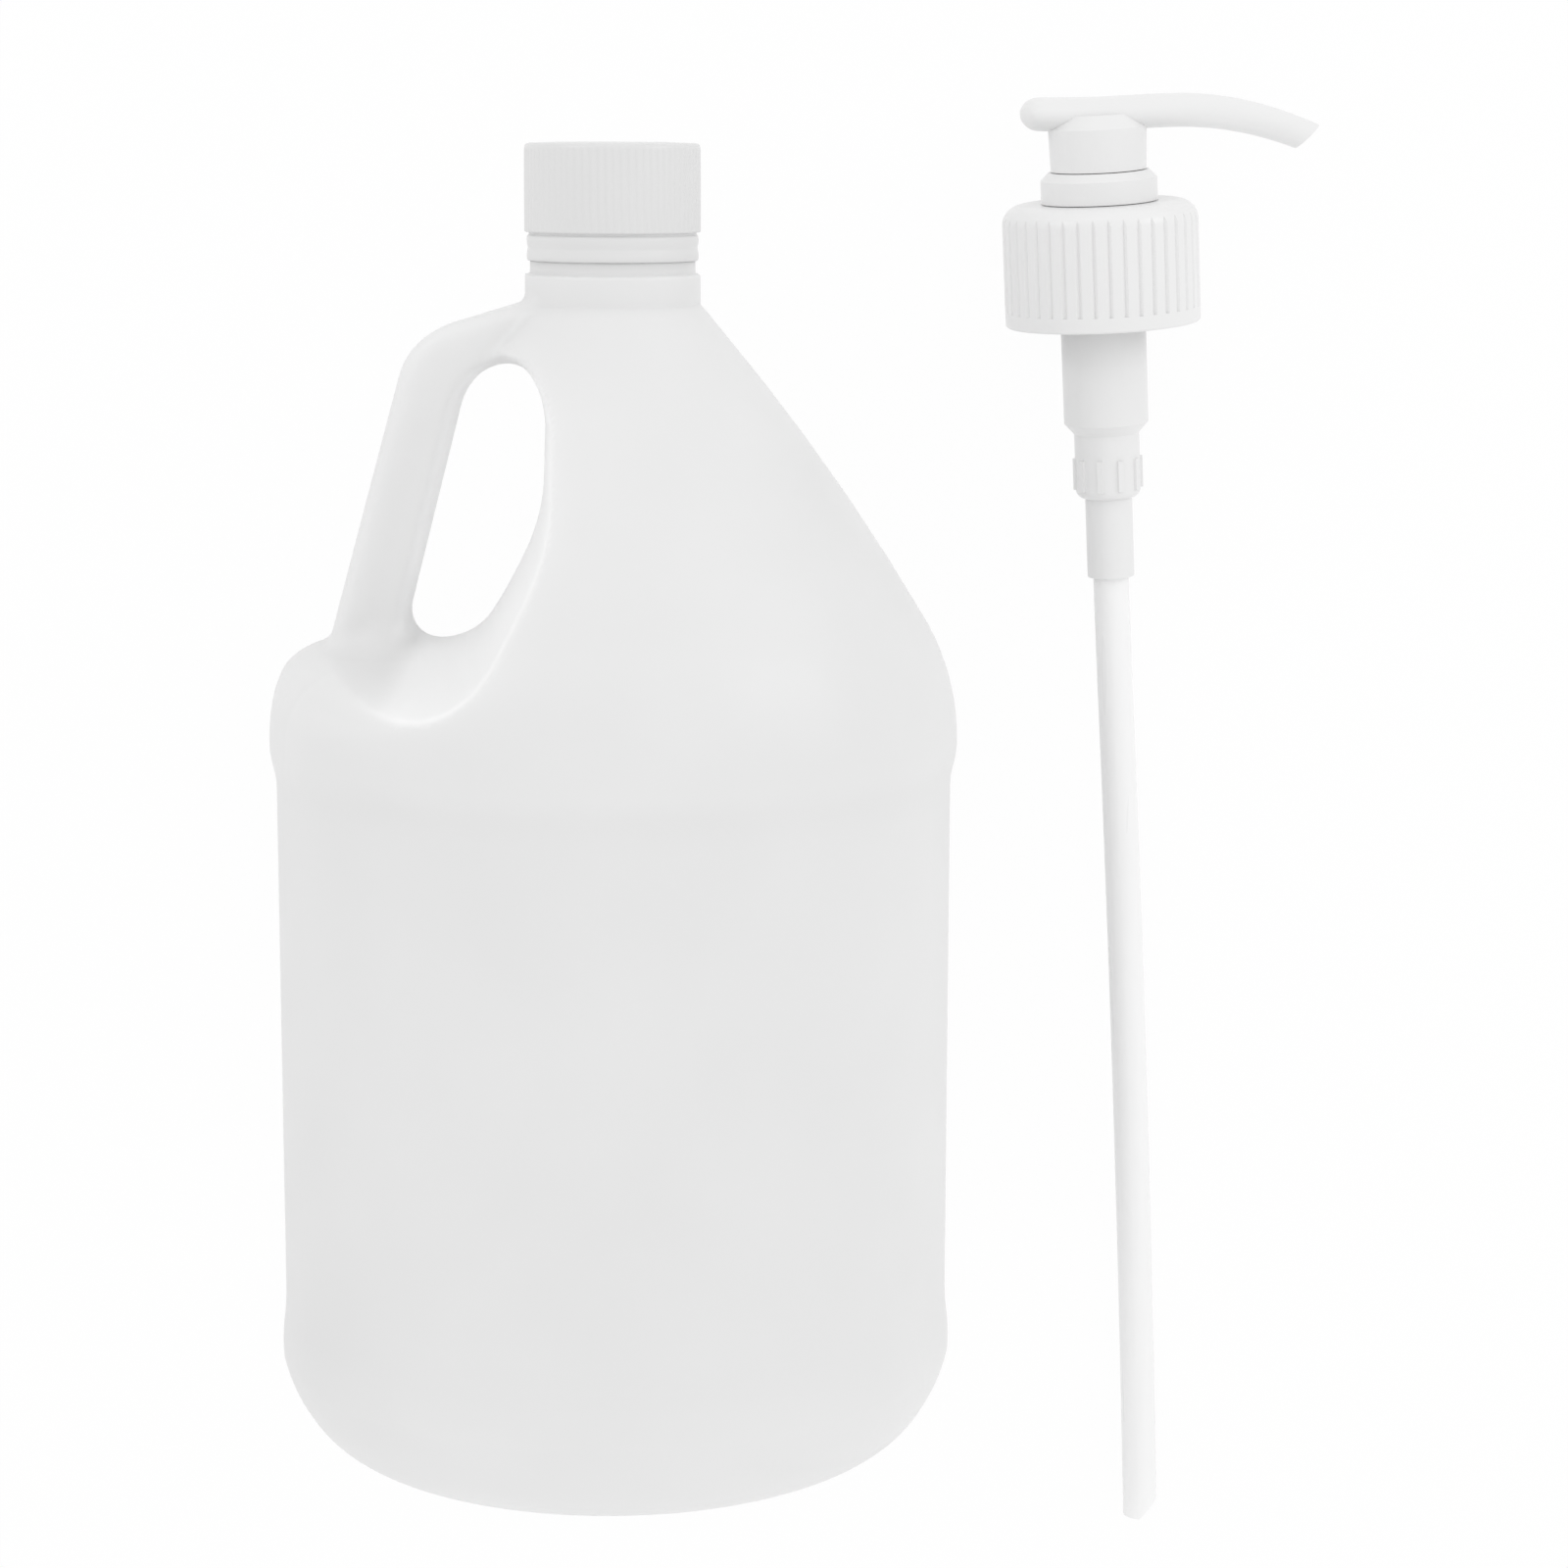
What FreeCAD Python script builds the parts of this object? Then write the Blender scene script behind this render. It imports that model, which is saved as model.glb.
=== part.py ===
import FreeCAD, Part
import math
import os

import Sketcher

# A one-gallon round handled jug with its screw cap on, and the lotion pump that comes with it.
# Both lie on a flat surface, side by side: the jug on its back, the pump on its collar's rim
# and the tip of its dip tube.
#
# The set's frame: Z is up from the surface, Y runs along the jug towards its cap, X runs from
# the handle's side across to the pump. The origin is the middle of the footprint, on the surface.
#
# The jug and the pump are each drawn upright, about their own Z axis, and laid down by a
# Placement: their own Z becomes Y, and their own front, -Y, becomes up. In the jug's own frame
# Z = 0 is the standing ring; in the pump's, Z = 0 is the collar's lower rim.

CLEARANCE = 0.3  # how far a cutting outline stands clear of the wall that it cuts
LOBE_END = 0.004  # squared share of its full size that the head's blade closes down to
LIP_BLOCK = 24.0  # the block that cuts the spout off at its lip
REST_BLOCK = (100.0, 10.0, 320.0)  # the block that cuts the flat which the jug lies on

doc = FreeCAD.newDocument("jug_with_pump")
sheet = doc.addObject("Spreadsheet::Sheet", "Dimensions")

DIMENSIONS = {
    # jug body: radii about its axis, heights above its standing ring
    "panel_radius": 76.85,
    "ridge_radius": 78.2,
    "heel_radius": 77.6,
    "heel_round": 25.0,
    "heel_rise": 22.0,
    "heel_band_top": 23.0,
    "panel_bottom": 26.5,
    "panel_top": 157.6,
    "ridge_bottom": 162.2,
    "ridge_top": 165.0,
    "shoulder_radius": 70.8,
    "shoulder_height": 192.0,
    "cone_top_radius": 23.0,
    "cone_top": 259.0,
    "push_up_radius": 46.0,
    "push_up_depth": 5.0,
    "rest_height": 77.5,
    # jug neck, above the cone
    "neck_collar_radius": 19.65,
    "neck_flare": 4.2,
    "neck_collar_bottom": 262.2,
    "neck_collar_top": 269.8,
    "neck_groove_radius": 18.5,
    "neck_bead_height": 273.2,
    "finish_radius": 17.3,
    "finish_top": 297.0,
    # handle bay: its outline on the parting plane, and how far it opens out on each side
    "bay_top": 249.3,
    "bay_top_reach": 22.6,
    "bay_wall": 15.9,
    "bay_wall_top": 243.5,
    "bay_elbow": 26.5,
    "bay_elbow_height": 195.9,
    "bay_floor": 187.7,
    "bay_floor_start": 39.3,
    "bay_floor_end": 61.0,
    "bay_lobe_round": 18.6,
    "bay_depth": 82.0,
    "bay_wall_open": 9.4,
    "bay_floor_fall": 13.0,
    "bay_top_rise": 6.0,
    "bay_edge_round": 2.0,
    # handle, on the parting plane
    "handle_half_depth": 11.5,
    "handle_edge_round": 4.5,
    "arm_root": 10.0,
    "arm_root_top": 266.6,
    "arm_root_bottom": 250.0,
    "arm_end": 36.5,
    "arm_end_top": 258.5,
    "grip_top": 47.2,
    "grip_top_height": 247.9,
    "grip_foot": 66.0,
    "grip_foot_height": 183.0,
    "grip_inner_foot": 49.6,
    "grip_inner_top": 34.6,
    "grip_inner_height": 239.0,
    "arm_under": 22.5,
    "arm_under_height": 249.3,
    # jug cap with its tamper band
    "cap_radius": 19.7,
    "cap_bore": 17.4,
    "cap_bottom": 279.1,
    "cap_top": 299.0,
    "cap_rim_round": 1.3,
    "cap_rib_depth": 0.45,
    "cap_rib_count": 72.0,
    "band_bottom": 272.8,
    "band_top": 278.4,
    "band_groove": 18.9,
    "band_bore": 18.7,
    "bridge_count": 8.0,
    "bridge_angle": 4.0,
    "band_inset": 0.5,
    # pump closure: collar, lock ring, housing
    "collar_radius": 23.2,
    "collar_bore": 18.9,
    "collar_hole": 12.0,
    "collar_side_top": 24.0,
    "collar_top": 28.6,
    "collar_plate": 2.4,
    "collar_band": 3.6,
    "collar_rib_depth": 0.6,
    "collar_rib_count": 40.0,
    "collar_lead_in": 0.8,
    "collar_rim_bevel": 0.4,
    "ring_radius": 13.8,
    "ring_bottom": 28.8,
    "ring_top": 36.0,
    "ring_chamfer": 1.9,
    "ring_neck_radius": 9.0,
    "ring_neck_top": 43.5,
    "ring_bore": 10.5,
    "ring_bore_top": 33.2,
    "barrel_radius": 10.2,
    "barrel_bore": 8.4,
    "barrel_neck": 10.4,
    "barrel_top": 33.0,
    "barrel_bottom": 23.8,
    "barrel_taper": 0.1,
    "barrel_floor": 1.5,
    "flange_radius": 18.2,
    "flange_top": 26.0,
    "flange_thickness": 1.8,
    "gasket_thickness": 1.5,
    "gasket_bore": 10.8,
    "cage_radius": 7.8,
    "cage_top": 26.4,
    "cage_bottom": 39.8,
    "cage_rib_count": 10.0,
    "cage_rib_depth": 0.55,
    "cage_rib_length": 7.5,
    "cage_rib_root": 0.8,
    "socket_radius": 5.65,
    "socket_top": 42.0,
    "socket_bottom": 61.2,
    "socket_depth": 15.0,
    "valve_bore": 3.0,
    # pump stem and head
    "stem_radius": 4.0,
    "stem_top": 50.0,
    "piston_radius": 8.3,
    "piston_top": 14.0,
    "piston_bottom": 20.0,
    "running_gap": 0.06,
    "skirt_radius": 11.6,
    "skirt_bore": 9.5,
    "skirt_bottom": 36.2,
    "skirt_bore_top": 44.0,
    "skirt_taper": 0.3,
    "skirt_rim": 0.8,
    "skirt_cap_inset": 2.5,
    "skirt_cap_height": 4.0,
    "head_under": 45.3,
    "head_top": 53.2,
    "lobe_reach": 18.1,
    "lobe_half_width": 5.6,
    "pad_half_width": 7.4,
    "spout_half_width": 4.1,
    "spout_reach": 52.4,
    "spout_tip_top": 44.2,
    "spout_lip_reach": 46.4,
    "spout_lip": 38.85,
    "spout_root": 16.5,
    "spout_bend": 70.0,
    "pad_reach": 30.0,
    "lobe_round": 4.6,
    "lobe_lift": 0.7,
    "lobe_taper": 29.0,
    "blade_step": 9.6,
    "nozzle_radius": 2.2,
    "nozzle_depth": 9.0,
    "nozzle_climb": 22.8,
    # dip tube
    "tube_radius": 4.3,
    "tube_bore": 2.8,
    "tube_tip": 306.0,
    "tube_end_gap": 0.05,
    "tube_lead": 25.0,
    "tube_swing": 0.15,
    "tube_bevel_rise": 5.0,
    "tube_bevel_width": 5.2,
    # how the pump lies beside the jug
    "pump_offset": 114.5,
    "pump_rise": 256.6,
    "pump_lean": 3.1,
}

for row, (alias, size) in enumerate(DIMENSIONS.items(), start=1):
    sheet.set(f"A{row}", alias)
    sheet.set(f"B{row}", str(size))
    sheet.setAlias(f"B{row}", alias)
doc.recompute()


class Dim:
    """A size that is both a number and the formula over the sheet's cells that gives it."""

    def __init__(self, value, formula):
        self.value = value
        self.formula = formula

    def __add__(self, other):
        return Dim(self.value + number(other), f"({self.formula} + {formula(other)})")

    def __sub__(self, other):
        return Dim(self.value - number(other), f"({self.formula} - {formula(other)})")

    def __mul__(self, other):
        return Dim(self.value * number(other), f"({self.formula} * {formula(other)})")

    def __truediv__(self, other):
        return Dim(self.value / number(other), f"({self.formula} / {formula(other)})")

    def __neg__(self):
        return Dim(-self.value, f"(-{self.formula})")


def number(size):
    return size.value if isinstance(size, Dim) else float(size)


def formula(size):
    return size.formula if isinstance(size, Dim) else str(size)


def dim(alias):
    """The size in one cell of the sheet."""
    return Dim(float(sheet.get(alias)), f"Dimensions.{alias}")


def bind(item, prop, size):
    """Set a property of a document object to a size, and tie it to the sheet."""
    item.setExpression(prop, formula(size))


class Outline:
    """A closed sketch outline, drawn corner by corner, its corners pinned to the sheet."""

    def __init__(self, sketch, across, up):
        self.sketch = sketch
        self.first = None
        self.last = None
        self.start = (across, up)
        self.here = FreeCAD.Vector(number(across), number(up), 0)
        self.heading = None

    def pin(self, place, across, up):
        for kind, axis, size in (("DistanceX", -2, across), ("DistanceY", -1, up)):
            if isinstance(size, Dim):
                held = Sketcher.Constraint(kind, -1, 1, *place, number(size))
                index = self.sketch.addConstraint(held)
                self.sketch.setExpression(f"Constraints[{index}]", size.formula)
            else:
                self.sketch.addConstraint(Sketcher.Constraint("PointOnObject", *place, axis))

    def join(self, edge, start_end, finish_end, across, up, contact="Coincident"):
        """Chain a new edge on, and pin its far end unless it closes the outline."""
        index = self.sketch.addGeometry(edge, False)
        start, finish = (index, start_end), (index, finish_end)
        if self.last:
            self.sketch.addConstraint(Sketcher.Constraint(contact, *self.last, *start))
        else:
            self.first = start
            self.pin(start, *self.start)
        if (across, up) == self.start:
            self.sketch.addConstraint(Sketcher.Constraint("Coincident", *finish, *self.first))
        else:
            self.pin(finish, across, up)
        self.last = finish
        return index

    def line(self, across, up):
        there = FreeCAD.Vector(number(across), number(up), 0)
        self.join(Part.LineSegment(self.here, there), 1, 2, across, up)
        self.heading = (there - self.here).normalize()
        self.here = there

    def arc(self, across, up, radius):
        """An arc of a given radius; a positive one turns left, a negative one right."""
        index = self.curve(across, up, number(radius))
        row = self.sketch.addConstraint(Sketcher.Constraint("Radius", index, abs(number(radius))))
        if isinstance(radius, Dim):
            bound = radius if radius.value > 0 else -radius
            self.sketch.setExpression(f"Constraints[{row}]", bound.formula)

    def smooth(self, across, up):
        """An arc that leaves in the direction of the edge before it."""
        there = FreeCAD.Vector(number(across), number(up), 0)
        chord = there - self.here
        left = FreeCAD.Vector(-self.heading.y, self.heading.x, 0)
        self.curve(across, up, chord.dot(chord) / (2 * chord.dot(left)), "Tangent")

    def curve(self, across, up, radius, contact="Coincident"):
        there = FreeCAD.Vector(number(across), number(up), 0)
        chord = there - self.here
        half = chord.Length / 2
        left = FreeCAD.Vector(-chord.y, chord.x, 0).normalize()
        side = math.copysign(math.sqrt(max(radius * radius - half * half, 0.0)), radius)
        centre = self.here + chord * 0.5 + left * side
        ends = [math.atan2(end.y - centre.y, end.x - centre.x) for end in (self.here, there)]
        circle = Part.Circle(centre, FreeCAD.Vector(0, 0, 1), abs(radius))
        spoke = there - centre
        if radius > 0:
            index = self.join(Part.ArcOfCircle(circle, *ends), 1, 2, across, up, contact)
            self.heading = FreeCAD.Vector(-spoke.y, spoke.x, 0).normalize()
        else:
            index = self.join(Part.ArcOfCircle(circle, *reversed(ends)), 2, 1, across, up, contact)
            self.heading = FreeCAD.Vector(spoke.y, -spoke.x, 0).normalize()
        self.here = there
        return index


def new_body(name):
    body = doc.addObject("PartDesign::Body", name)
    body.Label = name
    return body


def new_sketch(body, name, role):
    """A sketch on one of a body's own origin planes."""
    sketch = body.newObject("Sketcher::SketchObject", name)
    plane = next(item for item in body.Origin.OriginFeatures if item.Role == role)
    sketch.AttachmentSupport = [(plane, "")]
    sketch.MapMode = "FlatFace"
    return sketch


def revolve(body, name, sketch, kind="Revolution"):
    turned = body.newObject(f"PartDesign::{kind}", name)
    turned.Profile = sketch
    turned.ReferenceAxis = (sketch, ["V_Axis"])
    turned.Angle = 360
    sketch.Visibility = False
    return turned


def repeat(body, name, feature, count):
    """Repeat a feature evenly round the body's own Z axis."""
    pattern = body.newObject("PartDesign::PolarPattern", name)
    pattern.Originals = [feature]
    axis = next(item for item in body.Origin.OriginFeatures if item.Role == "Z_Axis")
    pattern.Axis = (axis, [""])
    pattern.Angle = 360
    bind(pattern, "Occurrences", count)
    body.Tip = pattern
    return pattern


def pad(body, name, sketch, length, both_ways=False):
    grown = body.newObject("PartDesign::Pad", name)
    grown.Profile = sketch
    grown.Midplane = both_ways
    bind(grown, "Length", length)
    sketch.Visibility = False
    return grown


def pocket(body, name, sketch, length, slant=None, flipped=False):
    """Cut a sketch along its normal, or along a slanted direction given in the body's frame."""
    cut = body.newObject("PartDesign::Pocket", name)
    cut.Profile = sketch
    cut.Reversed = flipped
    bind(cut, "Length", length)
    if slant:
        cut.UseCustomVector = True
        cut.AlongSketchNormal = True
        cut.Direction = FreeCAD.Vector(*(number(size) for size in slant))
    sketch.Visibility = False
    return cut


# --- The jug -----------------------------------------------------------------------------------

def draw_jug_profile(sketch):
    """Half section of the blown body: push-up base, heel, label panel, ridge, shoulder, neck."""
    heel = dim("heel_radius")
    ridge = dim("ridge_radius")
    collar = dim("neck_collar_radius")
    groove = dim("neck_groove_radius")
    finish = dim("finish_radius")
    outline = Outline(sketch, 0, dim("push_up_depth"))
    outline.line(dim("push_up_radius"), dim("push_up_depth"))
    outline.line(heel - dim("heel_round"), 0)
    outline.line(heel - dim("heel_round") * 0.9, 0)
    outline.smooth(heel - dim("heel_round") * 0.26, dim("heel_rise") * 0.36)
    outline.smooth(heel, dim("heel_rise"))
    outline.line(heel, dim("heel_band_top"))
    outline.line(dim("panel_radius"), dim("panel_bottom"))
    outline.line(dim("panel_radius"), dim("panel_top"))
    outline.line(ridge, dim("ridge_bottom"))
    outline.line(ridge, dim("ridge_top"))
    outline.smooth(dim("shoulder_radius"), dim("shoulder_height"))
    outline.smooth(dim("cone_top_radius"), dim("cone_top"))
    outline.arc(collar, dim("neck_collar_bottom"), -dim("neck_flare"))
    outline.line(collar, dim("neck_collar_top"))
    outline.line(groove, dim("neck_collar_top"))
    outline.line(groove, dim("neck_bead_height"))
    outline.line(finish, dim("neck_bead_height"))
    outline.line(finish, dim("finish_top"))
    outline.line(0, dim("finish_top"))
    outline.line(0, dim("push_up_depth"))


def draw_bay(sketch, share):
    """The bay beside the handle: its floor, wall and top in one sweep. It widens from the
    parting plane, where share is 0, to its full depth, where share is 1."""
    opened, fallen = dim("bay_wall_open") * share, dim("bay_floor_fall") * share
    top = dim("bay_top") + dim("bay_top_rise") * share
    floor = dim("bay_floor") - fallen
    lobe = dim("bay_lobe_round")
    floor_end = -dim("bay_floor_end")
    beyond = -dim("ridge_radius") * 1.3
    outline = Outline(sketch, floor_end, floor)
    outline.line(opened * 0.4 - dim("bay_floor_start"), floor)
    outline.smooth(opened * 0.85 - dim("bay_elbow"), dim("bay_elbow_height") - fallen * 0.6)
    outline.smooth(opened - dim("bay_wall"), dim("bay_wall_top"))
    outline.smooth(opened * 0.2 - dim("bay_top_reach"), top)
    outline.line(beyond, top)
    outline.line(beyond, floor - lobe)
    outline.line(floor_end - lobe, floor - lobe)
    outline.arc(floor_end, floor, -lobe)


def draw_handle(sketch):
    """The handle's side view: an arm out of the neck, a bend, and the grip down to the shoulder."""
    outline = Outline(sketch, -dim("arm_root"), dim("arm_root_top"))
    outline.line(-dim("arm_end"), dim("arm_end_top"))
    outline.smooth(-dim("grip_top"), dim("grip_top_height"))
    outline.line(-dim("grip_foot"), dim("grip_foot_height"))
    outline.line(-dim("grip_inner_foot"), dim("grip_foot_height"))
    outline.line(-dim("grip_inner_top"), dim("grip_inner_height"))
    outline.smooth(-dim("arm_under"), dim("arm_under_height"))
    outline.line(-dim("arm_root"), dim("arm_root_bottom"))
    outline.line(-dim("arm_root"), dim("arm_root_top"))


def edges_where(shape, wanted):
    return [f"Edge{n}" for n, edge in enumerate(shape.Edges, start=1) if wanted(edge)]


def creases(shape):
    """The edges where a lofted face of the bay meets the turned shoulder."""
    lofted_on_turned = {Part.BSplineSurface, Part.SurfaceOfRevolution}
    def is_crease(edge):
        return {type(face.Surface) for face in shape.ancestorsOfType(edge, Part.Face)} == lofted_on_turned
    return edges_where(shape, is_crease)


def make_jug():
    shell = new_body("jug_shell")
    profile = new_sketch(shell, "jug_profile", "XZ_Plane")
    draw_jug_profile(profile)
    revolve(shell, "jug_revolution", profile)
    for side, sign in (("front", 1), ("back", -1)):
        inner = new_sketch(shell, f"bay_{side}_inner", "XZ_Plane")
        draw_bay(inner, 0)
        outer = new_sketch(shell, f"bay_{side}_outer", "XZ_Plane")
        outer.setExpression(".AttachmentOffset.Base.z", (dim("bay_depth") * sign).formula)
        draw_bay(outer, 1)
        scoop = shell.newObject("PartDesign::SubtractiveLoft", f"bay_{side}")
        scoop.Profile = inner
        scoop.Sections = [outer]
        scoop.Ruled = True
        inner.Visibility = False
        outer.Visibility = False
    doc.recompute()
    crease = shell.newObject("PartDesign::Fillet", "bay_crease")
    crease.Base = (scoop, creases(scoop.Shape))
    bind(crease, "Radius", dim("bay_edge_round"))

    grip = new_body("jug_handle")
    outline = new_sketch(grip, "handle_outline", "XZ_Plane")
    draw_handle(outline)
    block = pad(grip, "handle_pad", outline, dim("handle_half_depth") * 2, both_ways=True)
    doc.recompute()
    half = dim("handle_half_depth").value
    rims = edges_where(block.Shape, lambda edge: abs(abs(edge.CenterOfMass.y) - half) < 0.01)
    rounded = grip.newObject("PartDesign::Fillet", "handle_rounding")
    rounded.Base = (block, rims)
    bind(rounded, "Radius", dim("handle_edge_round"))

    whole = doc.addObject("Part::Fuse", "jug_whole")
    whole.Base = shell
    whole.Tool = grip
    whole.Refine = True

    # a small flat along the back, where the jug lies on its ridge and its heel band
    flat = doc.addObject("Part::Box", "jug_rest")
    flat.Length, flat.Width, flat.Height = REST_BLOCK
    flat.Placement.Base = FreeCAD.Vector(-REST_BLOCK[0] / 2, 0, -REST_BLOCK[1])
    flat.setExpression(".Placement.Base.y", dim("rest_height").formula)
    jug = doc.addObject("Part::Cut", "jug")
    jug.Label = "jug"
    jug.Base = whole
    jug.Tool = flat
    return jug


# --- The jug's cap -----------------------------------------------------------------------------

def notches(body, name, radius, depth, count, low, high):
    """Upright V grooves round a wall, which leave flat-topped ribs between them."""
    outline_sketch = new_sketch(body, f"{name}_outline", "XY_Plane")
    outline_sketch.setExpression(".AttachmentOffset.Base.z", low.formula)
    half = radius * (math.pi / 2) / count + CLEARANCE / 4
    outline = Outline(outline_sketch, radius + CLEARANCE, -half)
    outline.line(radius + CLEARANCE, half)
    outline.line(radius - depth, 0)
    outline.line(radius + CLEARANCE, -half)
    groove = pocket(body, name, outline_sketch, high - low, flipped=True)
    return repeat(body, f"{name}_pattern", groove, count)


def make_jug_cap():
    """Ribbed screw cap; below a slit, a beaded tamper band hangs on thin bridges."""
    cap = new_body("jug_cap")
    radius, bore = dim("cap_radius"), dim("cap_bore")
    rim = dim("cap_rim_round")
    bottom, top = dim("cap_bottom"), dim("cap_top")
    low, high = dim("band_bottom"), dim("band_top")
    middle = (low + high) / 2
    bead = (high - low) * 0.3
    band = radius - dim("band_inset")
    profile = new_sketch(cap, "cap_profile", "XZ_Plane")
    outline = Outline(profile, dim("band_bore"), low)
    outline.line(band, low)
    outline.arc(dim("band_groove"), middle, bead)
    outline.arc(band, high, bead)
    outline.line(band, bottom)
    outline.line(radius, bottom)
    outline.line(radius, top - rim)
    outline.arc(radius - rim, top, rim)
    outline.line(0, top)
    outline.line(0, dim("finish_top"))
    outline.line(bore, dim("finish_top"))
    outline.line(bore, dim("neck_bead_height"))
    outline.line(dim("band_bore"), dim("neck_bead_height"))
    outline.line(dim("band_bore"), low)
    revolve(cap, "cap_revolution", profile)

    slit_profile = new_sketch(cap, "slit_profile", "XZ_Plane")
    outline = Outline(slit_profile, bore - 1, high)
    outline.line(radius + 1, high)
    outline.line(radius + 1, bottom)
    outline.line(bore - 1, bottom)
    outline.line(bore - 1, high)
    slit = revolve(cap, "slit", slit_profile, "Groove")
    share = Dim(360.0, "360") / dim("bridge_count")
    bind(slit, "Angle", share - dim("bridge_angle"))
    repeat(cap, "slit_pattern", slit, dim("bridge_count"))
    count = dim("cap_rib_count")
    notches(cap, "cap_rib", radius, dim("cap_rib_depth"), count, bottom - CLEARANCE, top - rim)
    return cap


# --- The pump ----------------------------------------------------------------------------------

def make_pump_collar():
    """Ribbed screw closure: a cup with its mouth down and a hole in its top plate."""
    collar = new_body("pump_collar")
    radius, bore = dim("collar_radius"), dim("collar_bore")
    side_top, top = dim("collar_side_top"), dim("collar_top")
    shoulder = top - side_top
    lead, bevel = dim("collar_lead_in"), dim("collar_rim_bevel")
    profile = new_sketch(collar, "collar_profile", "XZ_Plane")
    outline = Outline(profile, bore + lead, 0)
    outline.line(radius - bevel, 0)
    outline.line(radius, bevel)
    outline.line(radius, side_top)
    outline.arc(radius - shoulder, top, shoulder)
    outline.line(dim("collar_hole"), top)
    outline.line(dim("collar_hole"), top - dim("collar_plate"))
    outline.line(bore, top - dim("collar_plate"))
    outline.line(bore, lead)
    outline.line(bore + lead, 0)
    revolve(collar, "collar_revolution", profile)
    count = dim("collar_rib_count")
    notches(collar, "collar_rib", radius, dim("collar_rib_depth"), count, dim("collar_band"), top)
    return collar


def make_pump_ring():
    """Lock ring: snapped on the housing's neck above the collar, with a threaded post for the head."""
    ring = new_body("pump_ring")
    radius, bevel = dim("ring_radius"), dim("ring_chamfer")
    rod_bore = dim("stem_radius") + dim("running_gap")
    profile = new_sketch(ring, "ring_profile", "XZ_Plane")
    outline = Outline(profile, dim("ring_bore"), dim("ring_bottom"))
    outline.line(radius, dim("ring_bottom"))
    outline.line(radius, dim("ring_top") - bevel)
    outline.line(radius - bevel, dim("ring_top"))
    outline.line(dim("ring_neck_radius"), dim("ring_top"))
    outline.line(dim("ring_neck_radius"), dim("ring_neck_top"))
    outline.line(rod_bore, dim("ring_neck_top"))
    outline.line(rod_bore, dim("ring_bore_top"))
    outline.line(dim("ring_bore"), dim("ring_bore_top"))
    outline.line(dim("ring_bore"), dim("ring_bottom"))
    revolve(ring, "ring_revolution", profile)
    return ring


def make_pump_housing():
    """Pump barrel with its flange, ribbed valve cage and the socket that grips the dip tube."""
    housing = new_body("pump_housing")
    barrel, bore = dim("barrel_radius"), dim("barrel_bore")
    flange_low = dim("flange_top") - dim("flange_thickness")
    cage, socket = dim("cage_radius"), dim("socket_radius")
    seat = dim("tube_radius")
    seat_top = dim("socket_depth") - dim("socket_bottom")
    profile = new_sketch(housing, "housing_profile", "XZ_Plane")
    outline = Outline(profile, bore, dim("barrel_top"))
    outline.line(bore, dim("barrel_floor") - dim("barrel_bottom"))
    outline.line(dim("valve_bore"), dim("barrel_floor") - dim("barrel_bottom"))
    outline.line(dim("valve_bore"), seat_top)
    outline.line(seat, seat_top)
    outline.line(seat, -dim("socket_bottom"))
    outline.line(socket, -dim("socket_bottom"))
    outline.line(socket, -dim("socket_top"))
    outline.arc(cage, -dim("cage_bottom"), dim("socket_top") - dim("cage_bottom"))
    outline.line(cage, -dim("cage_top"))
    outline.line(barrel - dim("barrel_taper"), -dim("barrel_bottom"))
    outline.line(barrel, flange_low)
    outline.line(dim("flange_radius"), flange_low)
    outline.line(dim("flange_radius"), dim("flange_top"))
    outline.line(dim("barrel_neck"), dim("flange_top"))
    outline.line(dim("barrel_neck"), dim("barrel_top"))
    outline.line(bore, dim("barrel_top"))
    revolve(housing, "housing_revolution", profile)

    rib_outline = new_sketch(housing, "cage_rib_outline", "XY_Plane")
    rib_outline.setExpression(".AttachmentOffset.Base.z", (-dim("cage_bottom")).formula)
    root, reach = cage - dim("cage_rib_root"), cage + dim("cage_rib_depth")
    half = cage * 1.2 / dim("cage_rib_count")
    outline = Outline(rib_outline, root, -half)
    outline.line(reach, -half * 0.7)
    outline.line(reach, half * 0.7)
    outline.line(root, half)
    outline.line(root, -half)
    rib = pad(housing, "cage_rib", rib_outline, dim("cage_rib_length"))
    repeat(housing, "cage_rib_pattern", rib, dim("cage_rib_count"))
    return housing


def make_pump_gasket():
    """Sealing washer against the underside of the housing's flange."""
    gasket = new_body("pump_gasket")
    top = dim("flange_top") - dim("flange_thickness")
    bottom = top - dim("gasket_thickness")
    profile = new_sketch(gasket, "gasket_profile", "XZ_Plane")
    outline = Outline(profile, dim("gasket_bore"), bottom)
    outline.line(dim("flange_radius"), bottom)
    outline.line(dim("flange_radius"), top)
    outline.line(dim("gasket_bore"), top)
    outline.line(dim("gasket_bore"), bottom)
    revolve(gasket, "gasket_revolution", profile)
    return gasket


def make_pump_stem():
    """Stem with its piston, which the head drives down the barrel."""
    stem = new_body("pump_stem")
    rod, piston = dim("stem_radius"), dim("piston_radius")
    profile = new_sketch(stem, "stem_profile", "XZ_Plane")
    outline = Outline(profile, 0, -dim("piston_bottom"))
    outline.line(piston, -dim("piston_bottom"))
    outline.line(piston, -dim("piston_top"))
    outline.line(rod, -dim("piston_top"))
    outline.line(rod, dim("stem_top"))
    outline.line(0, dim("stem_top"))
    outline.line(0, -dim("piston_bottom"))
    revolve(stem, "stem_revolution", profile)
    return stem


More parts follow.
